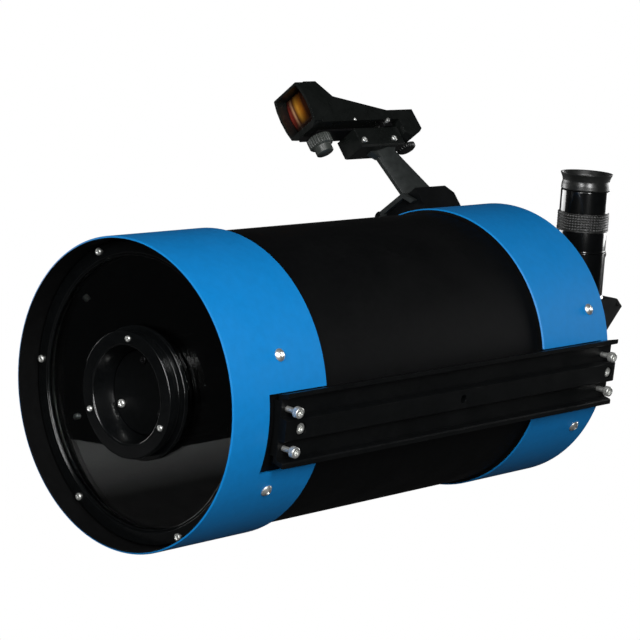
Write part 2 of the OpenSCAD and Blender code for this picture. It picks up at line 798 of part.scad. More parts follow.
azimuth_knob();
brightness_dial();
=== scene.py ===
# Looks of a compound mirror telescope tube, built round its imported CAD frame.
# Piece sizes are millimetres in the tube's own frame: the optical axis is Y, the front rim is y = 0,
# +Z is up and the rail is on +X. OPTICAL turns them into metres in the row frame.
import json
import math

import bmesh
import bpy
from mathutils import Matrix, Vector


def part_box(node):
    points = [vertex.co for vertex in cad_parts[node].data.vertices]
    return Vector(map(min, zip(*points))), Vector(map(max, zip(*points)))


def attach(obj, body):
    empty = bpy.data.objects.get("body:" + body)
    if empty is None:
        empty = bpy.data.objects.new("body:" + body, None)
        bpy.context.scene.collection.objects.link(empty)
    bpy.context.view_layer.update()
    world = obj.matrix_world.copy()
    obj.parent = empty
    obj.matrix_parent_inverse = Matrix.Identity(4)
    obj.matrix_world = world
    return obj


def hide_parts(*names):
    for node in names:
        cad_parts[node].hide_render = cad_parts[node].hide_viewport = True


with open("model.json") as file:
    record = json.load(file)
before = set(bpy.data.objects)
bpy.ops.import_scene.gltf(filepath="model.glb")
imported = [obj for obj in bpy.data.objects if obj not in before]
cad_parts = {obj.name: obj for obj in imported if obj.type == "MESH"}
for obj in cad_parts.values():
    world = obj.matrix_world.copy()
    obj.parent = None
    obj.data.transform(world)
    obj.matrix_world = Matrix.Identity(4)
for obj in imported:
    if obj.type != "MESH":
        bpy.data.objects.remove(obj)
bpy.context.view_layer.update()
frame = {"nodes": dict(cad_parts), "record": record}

MM = 0.001
TAU = 2 * math.pi
NODES = frame["nodes"]
SLOT_OF = {part["node"]: part["material_slot"] for part in frame["record"]["subparts"]}

tube_low, tube_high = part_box("main_tube")
AXIS_X = (tube_low.x + tube_high.x) / 2
RIM_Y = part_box("front_cell")[0].y

# Fixings of the front end, the cells and the rail
RING_FACE = 13.8
RING_SCREW_R = 86.4
FLANGE_FACE = 4
FLANGE_SCREW_R = 33
FLANGE_SCREW_ANGLES = (93, 208, 339)
COLLIMATION_FACE = 17.4
COLLIMATION_R = 19.5
COLLIMATION_ANGLE = 93
CELL_SURFACE = 92.02
CELL_SCREW_YS = (40.8, 331.5)
CELL_SCREW_ANGLES = (25.5, -25.5, 154.5, 205.5)
RAIL_SCREW_SEAT = 95.55
RAIL_SCREW_YS = (47, 339.5)
CONE_SEAT = 100.9
CONE_YS = {"front": 39, "rear": 336.5}
CONE_ZS = {"top": 11.5, "bottom": -11.5}

# Focus knob, visual back and eyepiece
FOCUS_X = -42
FOCUS_Z = -36
NOSE_LOCK_R = 26
NOSE_LOCK_Y = 380
EYE_Y = 435
EYE_LEAN = 3
EYE_LOCK_SEAT = 18.3
EYE_LOCK_HEIGHT = 50
SHOULDER = 54.3

# Finder: heights are from the optical axis
FINDER_ANGLE = 132
LENS_Y = 262
LENS_THICKNESS = 2.4
LENS_BEND = 60
LENS_HEIGHT = 186.6
ALTITUDE_Y = 266
AZIMUTH_Y = 350
DIAL_SEAT = -13.3
DIAL_HEIGHT = 169
CRADLE_SIDE = 9.42
CRADLE_SCREW_YS = (299, 330)
CRADLE_SCREW_HEIGHT = 156
BODY_SCREW = (12.95, 295, 170.6)
SHOE_LOCK = (-15.2, 318.5, 106.15)
SHOE_LOCK_LEAN = -56.6


# ---- placing: local Z is the axis of every turned piece ----


def turn(degrees, axis):
    return Matrix.Rotation(math.radians(degrees), 4, axis)


def move(x, y, z):
    return Matrix.Translation((x, y, z))


OPTICAL = move(AXIS_X, RIM_Y, 0) @ Matrix.Scale(MM, 4)
FINDER = OPTICAL @ turn(90 - FINDER_ANGLE, "Y")
EYE = OPTICAL @ turn(-EYE_LEAN, "Y") @ move(0, EYE_Y, 0)


def along_x(x, y, z):
    return OPTICAL @ move(x, y, z) @ turn(90, "Y")


def radial(angle, y, r):
    """On the tube's side at a radius, pointing outwards"""
    return OPTICAL @ turn(-angle, "Y") @ move(r, y, 0) @ turn(90, "Y")


def facing_front(angle, r, y):
    """At a place round the optical axis, pointing forwards"""
    return OPTICAL @ turn(-angle, "Y") @ move(r, y, 0) @ turn(90, "X")


# ---- materials ----


class Finish:
    """A Principled material with short calls for its procedural detail"""

    def __init__(self, name, color, roughness, metallic=0.0, specular=0.5):
        self.material = bpy.data.materials.new(name)
        self.material.use_nodes = True
        self.nodes = self.material.node_tree.nodes
        self.links = self.material.node_tree.links
        self.shader = self.nodes["Principled BSDF"]
        self.color = color
        self.roughness = roughness
        self.bump = None
        self.put("Base Color", (*color, 1))
        self.put("Roughness", roughness)
        self.put("Metallic", metallic)
        self.put("Specular IOR Level", specular)
        self.coordinates = self.nodes.new("ShaderNodeTexCoord")

    def put(self, socket, value):
        self.shader.inputs[socket].default_value = value
        return self

    def noise(self, scale, detail=3, stretch=(1, 1, 1)):
        """Noise of about 1 / scale metres, drawn out along the axes by stretch"""
        mapping = self.nodes.new("ShaderNodeMapping")
        mapping.inputs["Scale"].default_value = tuple(scale / s for s in stretch)
        texture = self.nodes.new("ShaderNodeTexNoise")
        texture.inputs["Scale"].default_value = 1
        texture.inputs["Detail"].default_value = detail
        self.links.new(self.coordinates.outputs["Object"], mapping.inputs["Vector"])
        self.links.new(mapping.outputs["Vector"], texture.inputs["Vector"])
        return texture.outputs["Fac"]

    def ramp(self, source, low, high, start=0.3, end=0.7):
        node = self.nodes.new("ShaderNodeMapRange")
        node.inputs["From Min"].default_value = start
        node.inputs["From Max"].default_value = end
        node.inputs["To Min"].default_value = low
        node.inputs["To Max"].default_value = high
        self.links.new(source, node.inputs["Value"])
        return node.outputs["Result"]

    def grain(self, scale, depth, detail=3, stretch=(1, 1, 1)):
        """Surface relief: depth is in metres"""
        node = self.nodes.new("ShaderNodeBump")
        node.inputs["Strength"].default_value = 1
        node.inputs["Distance"].default_value = depth
        self.links.new(self.noise(scale, detail, stretch), node.inputs["Height"])
        if self.bump:
            self.links.new(self.bump.outputs["Normal"], node.inputs["Normal"])
        self.bump = node
        self.links.new(node.outputs["Normal"], self.shader.inputs["Normal"])
        return self

    def smudge(self, scale, spread, stretch=(1, 1, 1)):
        """Roughness that wanders by spread round its value"""
        value = self.ramp(self.noise(scale, 4, stretch), self.roughness - spread, self.roughness + spread)
        self.links.new(value, self.shader.inputs["Roughness"])
        return self

    def mottle(self, scale, spread, stretch=(1, 1, 1)):
        """Colour that wanders by a share of its value"""
        mix = self.nodes.new("ShaderNodeMix")
        mix.data_type = "RGBA"
        self.links.new(self.ramp(self.noise(scale, 4, stretch), 0, 1), mix.inputs["Factor"])
        mix.inputs["A"].default_value = (*[c * (1 - spread) for c in self.color], 1)
        mix.inputs["B"].default_value = (*[min(c * (1 + spread), 1) for c in self.color], 1)
        self.links.new(mix.outputs["Result"], self.shader.inputs["Base Color"])
        return self


def blue_paint():
    finish = Finish("blue_paint", (0.003, 0.2, 0.54), 0.48, specular=0.3)
    finish.put("Coat Weight", 0.08).put("Coat Roughness", 0.35)
    return finish.grain(1400, 0.00002).smudge(60, 0.05).mottle(220, 0.04)


def black_enamel():
    finish = Finish("black_enamel", (0.0022, 0.0024, 0.0026), 0.5, specular=0.1)
    return finish.grain(900, 0.00002).smudge(40, 0.07).mottle(300, 0.2)


def black_anodised():
    finish = Finish("black_anodised", (0.0026, 0.003, 0.0032), 0.42, specular=0.14)
    return finish.grain(1600, 0.00001, stretch=(1, 6, 1)).smudge(50, 0.06).mottle(260, 0.25)


def gloss_black():
    finish = Finish("gloss_black", (0.0024, 0.0028, 0.003), 0.19, specular=0.6)
    return finish.grain(1600, 0.000004).smudge(50, 0.03).mottle(260, 0.25)


def eyepiece_black():
    finish = Finish("eyepiece_black", (0.0022, 0.0025, 0.0027), 0.16, specular=0.9)
    finish.put("Coat Weight", 0.6).put("Coat Roughness", 0.12)
    return finish.grain(1600, 0.000002).smudge(50, 0.02).mottle(260, 0.25)


def finder_black():
    finish = Finish("finder_black", (0.0055, 0.0066, 0.006), 0.3, specular=0.45)
    return finish.grain(1900, 0.00001).smudge(90, 0.06).mottle(300, 0.2)


def matt_black():
    finish = Finish("matt_black", (0.0022, 0.0023, 0.0024), 0.7, specular=0.08)
    return finish.grain(2200, 0.00003).smudge(80, 0.06).mottle(200, 0.25)


def stainless():
    finish = Finish("stainless", (0.74, 0.75, 0.72), 0.33, metallic=0.82)
    return finish.grain(2600, 0.00001).smudge(400, 0.07).mottle(500, 0.08)


def black_oxide():
    finish = Finish("black_oxide", (0.02, 0.02, 0.021), 0.35, metallic=0.8)
    return finish.grain(2200, 0.00001).smudge(300, 0.06).mottle(400, 0.2)


def chrome():
    finish = Finish("chrome", (0.8, 0.81, 0.82), 0.12, metallic=1)
    return finish.grain(1500, 0.000004).smudge(200, 0.04).mottle(150, 0.04)


def bare_aluminium():
    finish = Finish("bare_aluminium", (0.62, 0.63, 0.64), 0.32, metallic=1)
    return finish.grain(2500, 0.00001, stretch=(1, 5, 1)).smudge(300, 0.07).mottle(180, 0.08)


def cast_grey():
    finish = Finish("cast_grey", (0.032, 0.036, 0.035), 0.32, metallic=0.35, specular=0.5)
    return finish.grain(1300, 0.00002).smudge(120, 0.08).mottle(260, 0.18)


def knob_grey():
    finish = Finish("knob_grey", (0.04, 0.045, 0.041), 0.36, specular=0.5)
    return finish.grain(1900, 0.00001).smudge(90, 0.06).mottle(300, 0.2)


def black_plastic():
    finish = Finish("black_plastic", (0.0035, 0.0037, 0.0038), 0.36, specular=0.3)
    return finish.grain(1900, 0.00001).smudge(90, 0.06).mottle(300, 0.2)


def rubber():
    finish = Finish("rubber", (0.008, 0.0085, 0.008), 0.34, specular=0.8)
    finish.put("Sheen Weight", 0.1).put("Sheen Roughness", 0.4)
    return finish.grain(2400, 0.00002).smudge(200, 0.08).mottle(350, 0.2)


def brass():
    finish = Finish("brass", (0.72, 0.5, 0.2), 0.28, metallic=1)
    return finish.grain(2000, 0.00001).smudge(200, 0.06).mottle(150, 0.1)


def mirror():
    finish = Finish("mirror", (0.9, 0.91, 0.92), 0.03, metallic=1)
    return finish.grain(300, 0.000001).smudge(30, 0.01).mottle(20, 0.01)


def glass(name, color, ior, roughness=0.01):
    finish = Finish(name, color, roughness)
    finish.put("Transmission Weight", 1).put("IOR", ior)
    return finish.smudge(60, roughness * 0.7)


def corrector_glass():
    return glass("corrector_glass", (0.96, 1.0, 0.98), 1.6)


def lens_glass():
    return glass("lens_glass", (0.93, 0.97, 1.0), 1.5)


# Colours across the finder lens: its red and amber coating with painted reflections and painted
# highlights of the lamps, as upright bands
LENS_COATING_AND_REFLECTION_BANDS = (
    (0, (0.4, 0.05, 0.03)),
    (0.17, (0.2, 0.02, 0.01)),
    (0.24, (0.75, 0.4, 0.2)),
    (0.3, (0.12, 0.03, 0.01)),
    (0.42, (0.85, 0.38, 0.04)),
    (0.55, (0.5, 0.16, 0.012)),
    (0.66, (0.07, 0.02, 0.008)),
    (1, (0.015, 0.01, 0.005)),
)
LENS_SPAN = 26 * MM


def orange_glass():
    """Coated finder lens: its red and amber coating colour with painted reflections and painted
    highlights in upright bands, darkened by painted shade towards its top and bottom
    """
    finish = Finish("orange_glass", (0.3, 0.06, 0.01), 0.12, metallic=0.35)
    place = finish.nodes.new("ShaderNodeMapping")
    place.vector_type = "TEXTURE"
    place.inputs["Location"].default_value = FINDER @ Vector((0, 264, 189))
    place.inputs["Rotation"].default_value = (0, math.radians(90 - FINDER_ANGLE), 0)
    place.inputs["Scale"].default_value = (LENS_SPAN, LENS_SPAN, LENS_SPAN)
    split = finish.nodes.new("ShaderNodeSeparateXYZ")
    finish.links.new(finish.coordinates.outputs["Object"], place.inputs["Vector"])
    finish.links.new(place.outputs["Vector"], split.inputs["Vector"])
    bands = finish.nodes.new("ShaderNodeValToRGB")
    stops = bands.color_ramp.elements
    stops[0].color = (*LENS_COATING_AND_REFLECTION_BANDS[0][1], 1)
    stops[1].color = (*LENS_COATING_AND_REFLECTION_BANDS[-1][1], 1)
    for across, color in LENS_COATING_AND_REFLECTION_BANDS[1:-1]:
        stops.new(across).color = (*color, 1)
    finish.links.new(finish.ramp(split.outputs["X"], 0, 1, -0.5, 0.5), bands.inputs["Fac"])
    # Painted shade: the bands fade to near black towards the lens's top and bottom
    height = finish.nodes.new("ShaderNodeMath")
    height.operation = "ABSOLUTE"
    finish.links.new(split.outputs["Z"], height.inputs[0])
    mix = finish.nodes.new("ShaderNodeMix")
    mix.data_type = "RGBA"
    mix.inputs["A"].default_value = (0.02, 0.008, 0.005, 1)
    finish.links.new(finish.ramp(height.outputs["Value"], 1, 0, 0.08, 0.42), mix.inputs["Factor"])
    finish.links.new(bands.outputs["Color"], mix.inputs["B"])
    finish.links.new(mix.outputs["Result"], finish.shader.inputs["Base Color"])
    return finish.grain(500, 0.000002).smudge(90, 0.03)


def emitter_red():
    finish = Finish("emitter_red", (0.5, 0.02, 0.015), 0.25)
    return finish.grain(1500, 0.00002).smudge(300, 0.06).mottle(300, 0.15)


MATERIALS = {
    make.__name__: make().material
    for make in (
        blue_paint, black_enamel, black_anodised, gloss_black, eyepiece_black, finder_black,
        matt_black, stainless, black_oxide, chrome, bare_aluminium, cast_grey, knob_grey,
        black_plastic, rubber, brass, mirror, corrector_glass, lens_glass, orange_glass, emitter_red,
    )
}


# ---- meshes ----


def soften(points, cut, steps=4):
    """Rounds the corners of a closed outline; corners on the axis stay sharp"""
    out = []
    for i, here in enumerate(points):
        here = Vector(here)
        before = Vector(points[i - 1]) - here
        after = Vector(points[(i + 1) % len(points)]) - here
        if here.x == 0 or abs(before.normalized().cross(after.normalized())) < 0.02:
            out.append(tuple(here))
            continue
        reach = min(cut, before.length * 0.45, after.length * 0.45)
        start = here + before.normalized() * reach
        end = here + after.normalized() * reach
        for k in range(steps + 1):
            t = k / steps
            out.append(tuple(start * (1 - t) ** 2 + here * 2 * t * (1 - t) + end * t * t))
    return out


def as_object(name, mesh_builder, matrix, slot, finish=None):
    mesh = bpy.data.meshes.new(name)
    bmesh.ops.recalc_face_normals(mesh_builder, faces=mesh_builder.faces)
    mesh_builder.to_mesh(mesh)
    mesh_builder.free()
    mesh.transform(matrix)
    mesh.shade_smooth()
    mesh.materials.append(MATERIALS[finish or slot])
    obj = bpy.data.objects.new(name, mesh)
    bpy.context.scene.collection.objects.link(obj)
    return obj


def lathe(bm, points, steps):
    """Adds a closed ring of revolution round Z; a radius is a number or a function of the angle"""
    rings = []
    for radius, height in points:
        if radius == 0:
            rings.append([bm.verts.new((0, 0, height))])
            continue
        ring = []
        for k in range(steps):
            a = TAU * k / steps
            r = radius(a) if callable(radius) else radius
            ring.append(bm.verts.new((r * math.cos(a), r * math.sin(a), height)))
        rings.append(ring)
    for i, lower in enumerate(rings):
        upper = rings[(i + 1) % len(rings)]
        if len(lower) == 1 and len(upper) == 1:
            continue
        for k in range(steps):
            n = (k + 1) % steps
            corners = [lower[k % len(lower)], lower[n % len(lower)]]
            corners += [upper[n % len(upper)], upper[k % len(upper)]]
            bm.faces.new(dict.fromkeys(corners))


def turned(name, points, matrix, slot, steps=128, finish=None):
    bm = bmesh.new()
    lathe(bm, points, steps)
    return as_object(name, bm, matrix, slot, finish)


def keep_flats(obj):
    """Shades flat faces flat and round ones round"""
    obj.modifiers.new("flats", "WEIGHTED_NORMAL").keep_sharp = True


def stand_for(obj, body, *nodes):
    keep_flats(obj)
    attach(obj, body)
    if nodes:
        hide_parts(*nodes)
    return obj


# ---- outlines with a changing radius ----


def hexagon(across):
    """Radius of a hexagon of that width across its flats"""
    return lambda a: across / 2 / math.cos((a % (TAU / 6)) - TAU / 12)


def cross_slot(length, width):
    def radius(a):
        c, s = abs(math.cos(a)) + 1e-6, abs(math.sin(a)) + 1e-6
        return max(min(length / c, width / s), min(length / s, width / c))

    return radius


def fluted(radius, depth, teeth, sharp=1.0):
    """Radius of a grip with rounded grooves along it"""
    return lambda a: radius - depth * max(0, math.cos(a * teeth)) ** sharp


def threaded(low, high, start, end, pitch):
    """Ring by ring outline of a thread between two heights"""
    points = []
    count = int((end - start) / pitch * 2)
    for k in range(count):
        points.append((high if k % 2 else low, start + (k + 0.5) * pitch / 2))
    return points


# ---- fasteners ----


def cap_head(head_r, head_h, shank_r, shank_len, across):
    """Cap screw: socket floor, rim, knurled side and threaded shank"""
    socket = hexagon(across)
    side = fluted(head_r, 0.28, 36)
    outline = [(0, head_h * 0.35), (socket, head_h * 0.4), (socket, head_h - 0.3)]
    outline += [(across * 0.62, head_h), (head_r - 0.6, head_h), (head_r - 0.15, head_h - 0.25)]
    outline += [(head_r - 0.05, head_h - 0.45), (side, head_h - 0.9), (side, 0.7)]
    outline += [(head_r - 0.1, 0.35), (head_r - 0.4, 0), (shank_r, 0)]
    outline += [(r, -h) for r, h in threaded(shank_r * 0.86, shank_r, 0.2, shank_len - 0.4, 0.7)]
    return outline + [(shank_r * 0.7, -shank_len), (0, -shank_len)]


def dome_head(head_r, head_h, shank_r, shank_len, across):
    """Button screw with a hexagon socket"""
    socket = hexagon(across)
    crown = head_r * 1.25
    outline = [(0, head_h * 0.3), (socket, head_h * 0.35), (socket, head_h - 0.25)]
    outline.append((across * 0.66, head_h - 0.05))
    for k in range(1, 9):
        r = across * 0.66 + (head_r - 0.05 - across * 0.66) * k / 8
        outline.append((r, max(head_h - crown + math.sqrt(crown ** 2 - r ** 2), 0.12)))
    outline += [(head_r, 0.05), (head_r - 0.05, 0), (shank_r, 0)]
    return outline + [(shank_r, -shank_len), (0, -shank_len)]


def cross_head(head_r, head_h, shank_r, shank_len):
    """Pan screw with a cross slot"""
    slot = cross_slot(head_r * 0.6, 0.32)
    outline = [(0, head_h * 0.35), (cross_slot(head_r * 0.4, 0.2), head_h * 0.45)]
    outline += [(slot, head_h - 0.02), (head_r * 0.66, head_h - 0.01)]
    outline += [(head_r * 0.86, head_h * 0.86), (head_r * 0.97, head_h * 0.55)]
    outline += [(head_r, head_h * 0.2), (head_r * 0.98, 0), (shank_r, 0)]
    return outline + [(shank_r, -shank_len), (0, -shank_len)]


def thumb_head(head_r, head_h, shank_r, shank_len, teeth=18):
    """Thumbscrew with a fluted rim and a dished end"""
    side = fluted(head_r, head_r * 0.11, teeth)
    outline = [(0, head_h - 0.7), (head_r * 0.5, head_h - 0.6), (head_r * 0.62, head_h - 0.1)]
    outline += [(head_r * 0.75, head_h), (head_r * 0.88, head_h - 0.1), (side, head_h - 0.7), (side, 0.7)]
    outline += [(head_r * 0.88, 0.1), (head_r * 0.8, 0), (shank_r, 0)]
    outline += [(r, -h) for r, h in threaded(shank_r * 0.9, shank_r, 0.3, shank_len - 0.3, 0.7)]
    return outline + [(shank_r * 0.8, -shank_len), (0, -shank_len)]


def joined(name, outline, places, slot, steps=72):
    """One object holding the same turned shape at several places"""
    bm = bmesh.new()
    for place in places:
        before = set(bm.verts)
        lathe(bm, outline, steps)
        bmesh.ops.transform(bm, matrix=place, verts=[v for v in bm.verts if v not in before])
    return as_object(name, bm, Matrix.Identity(4), slot)


ring_places = [facing_front(60 * k, RING_SCREW_R, RING_FACE) for k in range(6)]
ring_screws = joined("ring_screw_heads", cross_head(2.3, 1.4, 1.2, 7.5), ring_places, "stainless")
stand_for(ring_screws, "tube", "ring_screws")

flange_places = [facing_front(a, FLANGE_SCREW_R, FLANGE_FACE) for a in FLANGE_SCREW_ANGLES]
flange_screws = joined("housing_screw_heads", cross_head(1.9, 1.1, 1.15, 7.8), flange_places, "stainless")
stand_for(flange_screws, "tube", "housing_screws")

cell_places = [radial(a, y, CELL_SURFACE) for a in CELL_SCREW_ANGLES for y in CELL_SCREW_YS]
cell_screws = joined("cell_screw_heads", dome_head(3.8, 2.2, 2, 7, 2.5), cell_places, "stainless")
stand_for(cell_screws, "tube", "cell_screws")

rail_places = [along_x(RAIL_SCREW_SEAT, y, 0) for y in RAIL_SCREW_YS]
rail_screws = joined("rail_cap_screws", cap_head(3.4, 3.2, 1.9, 8.5, 3), rail_places, "stainless")
stand_for(rail_screws, "tube", "rail_screws")

for index, slot in enumerate(("black_oxide", "stainless", "black_oxide")):
    place = facing_front(COLLIMATION_ANGLE + 120 * index, COLLIMATION_R, COLLIMATION_FACE)
    screw = joined(f"collimation_head_{index + 1}", cross_head(2.6, 1.8, 1.5, 17.6), [place], slot)
    stand_for(screw, f"collimator_{index + 1}", f"collimation_screw_{index + 1}")

for end, y in CONE_YS.items():
    for side, z in CONE_ZS.items():
        outline = cap_head(3.3, 3.9, 1.75, 8.8, 2.8)
        screw = joined(f"cone_cap_{end}_{side}", outline, [along_x(CONE_SEAT, y, z)], "stainless", 144)
        stand_for(screw, f"cone_{end}_{side}", f"cone_screw_{end}_{side}")


# ---- turned pieces round the optical axis: outlines are [radius, y] ----

ROUND_AXIS = OPTICAL @ turn(-90, "X")

ring = [(79.7, 16.2), (79.7, 14.4), (79.95, 13.95), (80.35, 13.82), (80.7, 14.1), (80.75, 14.5)]
ring += [(81.2, 14.5), (81.25, 14.1), (81.5, 13.85), (81.9, 13.85), (88.4, 13.82), (88.85, 14.25)]
ring += [(88.85, 16.2)]
ring_with_beads = turned("ring_with_beads", ring, ROUND_AXIS, "black_anodised", 256, "gloss_black")
stand_for(ring_with_beads, "tube", "retaining_ring")

housing = [(28.7, 4.6), (29.3, 4), (36.9, 4), (37.3, 4.4), (37.3, 8.6), (36.9, 9), (35, 9)]
housing += [(35, 13.3), (39.2, 13.3), (39.5, 13.6), (39.5, 16.3), (26.4, 16.3), (26.4, 26)]
housing += [(21.3, 26), (21.3, 21.4), (24.9, 21.4), (24.9, 17), (27.6, 8.2)]
housing = soften(housing, 0.5)
holder = turned("secondary_holder", housing, ROUND_AXIS, "black_anodised", 192, "gloss_black")
stand_for(holder, "tube", "secondary_housing")

knob_side = fluted(13.9, 0.9, 24)
knob = [(5.05, 354), (11.5, 354), (13, 356.6), (knob_side, 357.6), (knob_side, 373), (13, 374.2)]
knob += [(12.4, 375.6), (11.6, 376), (9, 375.4), (0, 375.3), (0, 374.3), (5.05, 374.3)]
knob_place = OPTICAL @ move(FOCUS_X, 0, FOCUS_Z) @ turn(-90, "X")
stand_for(turned("focus_grip", knob, knob_place, "black_plastic", 192), "focuser", "focus_knob")

nose_place = radial(180, NOSE_LOCK_Y, NOSE_LOCK_R)
nose_thumb = joined("nose_thumb", thumb_head(5.5, 8, 2, 9.4, 20), [nose_place], "bare_aluminium", 160)
stand_for(nose_thumb, "nose_lock", "visual_back_thumbscrew")


# ---- eyepiece: outlines are [radius, height above the optical axis] ----

sleeve = [(16.4, 18.7), (16.4, 21.55), (18.75, 21.55), (17.8, 23.6), (17.8, SHOULDER), (15.95, SHOULDER)]
sleeve = [(14.2, 18.7)] + soften(sleeve, 0.25) + [(15.95, 24), (14.2, 24)]
holder_sleeve = turned("holder_sleeve", sleeve, EYE, "black_anodised", 160, "eyepiece_black")
stand_for(holder_sleeve, "diagonal", "eyepiece_holder")

lock_place = EYE @ move(0, EYE_LOCK_SEAT, EYE_LOCK_HEIGHT) @ turn(-90, "X")
lock = joined("eyepiece_thumb", thumb_head(4, 8.7, 1.5, 2.1, 16), [lock_place], "black_anodised", 128)
stand_for(lock, "eyepiece_lock", "eyepiece_thumbscrew")

barrel = [(14.5, 97.9), (14.5, 103.4), (13.2, 103.4), (13.2, 62), (15, 60.1), (15, SHOULDER + 0.05)]
barrel += [(17.1, SHOULDER + 0.05), (17.5, 54.9), (17.5, 55.5), (17.3, 55.7), (17.5, 55.9)]
barrel += [(17.5, 68.4), (16.8, 68.9), (16.8, 82.1), (17.3, 82.2), (17.25, 82.7), (17.25, 97.2)]
barrel += [(16.9, 97.9)]
eyepiece_shell = turned("eyepiece_shell", barrel, EYE, "black_anodised", 160, "eyepiece_black")
stand_for(eyepiece_shell, "eyepiece", "eyepiece_body")

GRIP_ROWS = 6
GRIP_ROW_PITCH = 1.85
check = fluted(18.25, 0.75, 52)
grip = [(16.85, 69.05), (17.9, 69.05), (18.25, 69.4), (18.25, 69.9), (17.6, 70.05)]
for row in range(GRIP_ROWS):
    low = 70.25 + GRIP_ROW_PITCH * row
    grip += [(17.3, low), (check, low + 0.35), (check, low + 1.05), (17.3, low + 1.4)]
grip += [(17.6, 81.3), (18.25, 81.4), (18.25, 81.7), (17.9, 81.95), (16.85, 81.95)]
stand_for(turned("chequered_grip", grip, EYE, "rubber", 480), "eyepiece", "eyepiece_grip")

cup = [(14.65, 98.15), (17.1, 98.15), (17.35, 98.7), (17.2, 101.6), (16.75, 103.2), (16.6, 104.6)]
cup += [(17.2, 106.8), (18.35, 109.3), (18.45, 109.7), (18.1, 109.95), (17.4, 109.8), (15.8, 106.8)]
cup += [(14.9, 104.2), (14.65, 103.9)]
stand_for(turned("eyecup_soft", soften(cup, 0.6), EYE, "rubber"), "eyepiece", "eyecup")


# ---- finder ----

# Inside of the hood, [sideways, height] from the lens's middle
hood_inside = [(-10.9, 13.8), (10.9, 13.8), (12.3, 8.1), (13, 0.6), (12.5, -7.9), (11.3, -13.7)]
hood_inside += [(-x, z) for x, z in reversed(hood_inside[2:])]


def lens_in_hood(front_y, thickness, bend, steps=10):
    """Curved glass that fills the hood's opening, round its middle height"""
    edge = soften(hood_inside, 1.2)
    bm = bmesh.new()
    layers = []
    for y in (front_y, front_y + thickness):
        rings = [[bm.verts.new((0, y, LENS_HEIGHT))]]
        for k in range(1, steps + 1):
            ring = []
            for x, z in edge:
                x, z = x * k / steps, z * k / steps
                sag = bend - math.sqrt(bend ** 2 - x * x - z * z)
                ring.append(bm.verts.new((x, y + sag, LENS_HEIGHT + z)))
            rings.append(ring)
        layers.append(rings)
    count = len(edge)
    for rings in layers:
        for inner, outer in zip(rings, rings[1:]):
            for k in range(count):
                n = (k + 1) % count
                corners = [inner[k % len(inner)], outer[k], outer[n], inner[n % len(inner)]]
                bm.faces.new(dict.fromkeys(corners))
    front, back = layers[0][-1], layers[1][-1]
    for k in range(count):
        n = (k + 1) % count
        bm.faces.new([front[k], front[n], back[n], back[k]])
    return as_object("finder_glass", bm, FINDER, "orange_glass")


stand_for(lens_in_hood(LENS_Y, LENS_THICKNESS, LENS_BEND), "finder", "finder_lens")

high_side = fluted(8.6, 0.85, 24, 0.8)
high_knob = [(0, 152.5), (5.7, 152.5), (6.15, 152.9), (6.15, 157.2), (7, 157.7), (7.8, 158.1)]
high_knob += [(high_side, 159), (high_side, 164.4), (7.6, 165.1), (2, 165.15), (2, 170.8), (0, 170.8)]
high_place = FINDER @ move(0, ALTITUDE_Y, 0)
altitude = turned("altitude_grip", high_knob, high_place, "black_plastic", 240, "knob_grey")
stand_for(altitude, "alt_adjuster", "altitude_knob")

low_side = fluted(7, 0.7, 20, 0.8)
low_knob = [(0, 151), (5.6, 151), (6.1, 151.3), (low_side, 152), (low_side, 154.3), (6, 154.75)]
low_knob += [(2, 154.75), (2, 163.5), (0, 163.5)]
low_place = FINDER @ move(0, AZIMUTH_Y, 0)
azimuth = turned("azimuth_grip", low_knob, low_place, "black_plastic", 200, "finder_black")
stand_for(azimuth, "az_adjuster", "azimuth_knob")

dial_place = FINDER @ move(DIAL_SEAT, AZIMUTH_Y, DIAL_HEIGHT) @ turn(-90, "Y")
dial = joined("dimmer_grip", thumb_head(6, 3.5, 2, 4.9, 24), [dial_place], "black_plastic", 192)
stand_for(dial, "dimmer", "brightness_dial")

shoe_place = FINDER @ move(*SHOE_LOCK) @ turn(SHOE_LOCK_LEAN, "Y") @ move(0, 0, 4.9)
shoe_thumb = joined("shoe_thumb", thumb_head(4.6, 7, 2, 4.5), [shoe_place], "black_anodised", 144)
stand_for(shoe_thumb, "shoe_lock", "shoe_thumbscrew")

side_places = [
    FINDER @ move(CRADLE_SIDE, y, CRADLE_SCREW_HEIGHT) @ turn(90, "Y") for y in CRADLE_SCREW_YS
]
cradle_heads = joined("cradle_heads", cross_head(2.2, 1.2, 1.5, 17), side_places, "stainless")
stand_for(cradle_heads, "finder_mount", "cradle_screws")

body_place = FINDER @ move(*BODY_SCREW) @ turn(90, "Y")
body_screw = joined("body_screw", dome_head(1.1, 0.7, 0.5, 0.6, 0.7), [body_place], "stainless")
stand_for(body_screw, "finder")


# ---- every CAD node that shows as it is ----

# Softened edges that are wider than PLAIN_BEVEL
PLAIN_BEVEL = 0.25
BEVELS = {"finder_body": 0.6, "finder_bracket": 0.7, "finder_shoe": 0.5, "finder_cradle": 0.5,
          "dovetail_rail": 0.3, "diagonal_housing": 0.4, "diagonal_side_plates": 0.4}

# Faces wholly inside this radius round the optical axis are matt black
BLACK_INSIDE = {"front_cell": 90.95, "main_tube": 88.5, "rear_cell": 91.25}
# Nodes with a finish of their own inside their slot
FINISH_OF = {"finder_body": "finder_black", "finder_cradle": "finder_black"}


